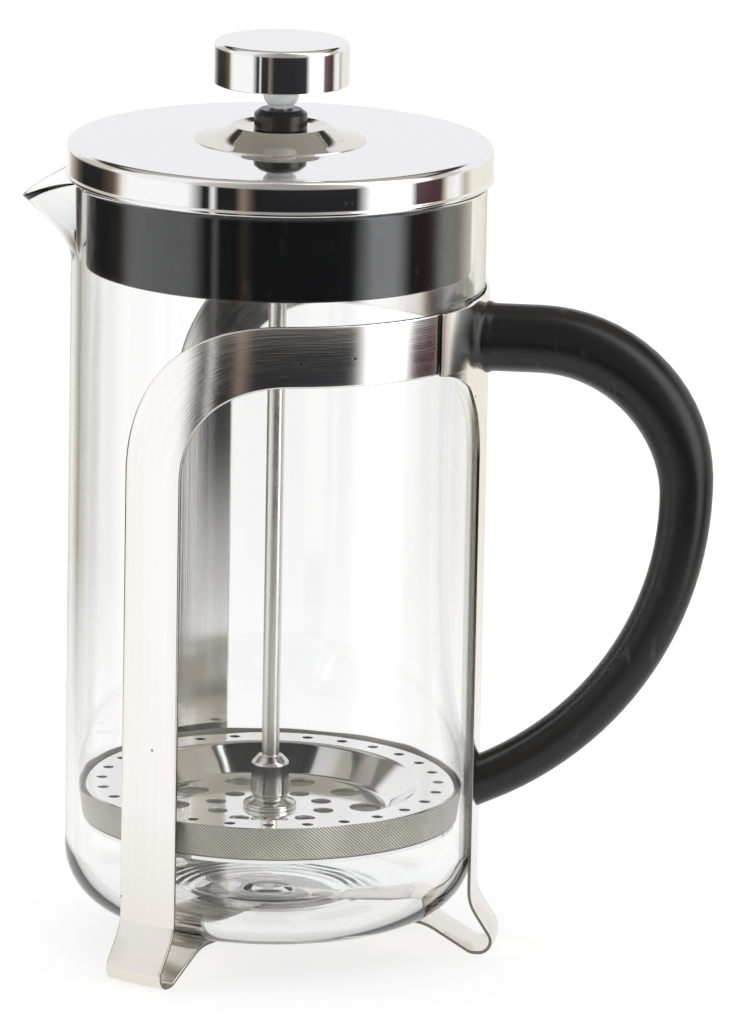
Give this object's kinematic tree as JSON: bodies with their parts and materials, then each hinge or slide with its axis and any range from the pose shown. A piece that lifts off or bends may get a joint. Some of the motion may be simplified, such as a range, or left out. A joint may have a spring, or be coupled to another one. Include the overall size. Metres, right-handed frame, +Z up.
{
  "type": "french press",
  "caption": "Glass french press: spouted beaker in a three-legged steel strap frame with a black handle, flat steel lid, drum knob, rod and woven-mesh plunger filter.",
  "frame": {"origin": "middle of the footprint, from the spout's tip to the handle's back, level with the bottoms of the three feet; the beaker's axis stands 21.2 mm from it towards -X", "axes": "+Z up along the beaker's axis, +X towards the handle, the spout towards -X"},
  "size_m": [0.1648, 0.1034, 0.2173],
  "materials": {
    "frame_steel": "fine satin grain along the strap",
    "polished_steel": "mirror polish",
    "plate_steel": "bright pressed sheet",
    "rod_steel": "polished bar",
    "mesh_steel": "fine woven wire",
    "fastener_steel": "plain",
    "brass": "turned",
    "handle_plastic": "satin black",
    "black_plastic": "gloss black",
    "pale_plastic": "milky",
    "beaker_glass": "clear borosilicate"
  },
  "bodies": {
    "frame": {"frame_arm_front": "frame_steel", "frame_arm_back": "frame_steel", "handle_strut": "frame_steel", "base_plate": "frame_steel", "base_rivets": "frame_steel", "handle": "handle_plastic", "handle_screws": "fastener_steel"},
    "beaker": {"beaker": "beaker_glass"},
    "lid": {"lid_shell": "polished_steel", "lid_cone": "polished_steel", "lid_sleeve": "black_plastic", "lid_bush": "black_plastic", "bush_washer": "fastener_steel", "bush_nut": "black_plastic"},
    "plunger": {"plunger_rod": "rod_steel"},
    "knob": {"knob_shell": "polished_steel", "knob_core": "pale_plastic", "knob_insert": "brass", "knob_boss": "pale_plastic"},
    "filter": {"filter_hub": "rod_steel", "filter_plate": "plate_steel", "filter_mesh": "mesh_steel", "edge_coil": "fastener_steel", "cross_plate": "plate_steel", "clamp_nut": "fastener_steel"}
  },
  "joints": [
    {"name": "beaker_lift", "type": "slide", "parent": "frame", "child": "beaker", "axis": [0, 0, 1], "range_m": [0, 0.155]},
    {"name": "lid_lift", "type": "slide", "parent": "beaker", "child": "lid", "axis": [0, 0, 1], "range_m": [0, 0.17]},
    {"name": "plunge", "type": "slide", "parent": "lid", "child": "plunger", "axis": [0, 0, 1], "range_m": [0, 0.1245]},
    {"name": "knob_turn", "type": "hinge", "parent": "plunger", "child": "knob", "pos_m": [-0.0212, 0, 0.21], "axis": [0, 0, 1], "continuous": true},
    {"name": "filter_turn", "type": "hinge", "parent": "plunger", "child": "filter", "pos_m": [-0.0212, 0, 0.035], "axis": [0, 0, 1], "continuous": true}
  ]
}
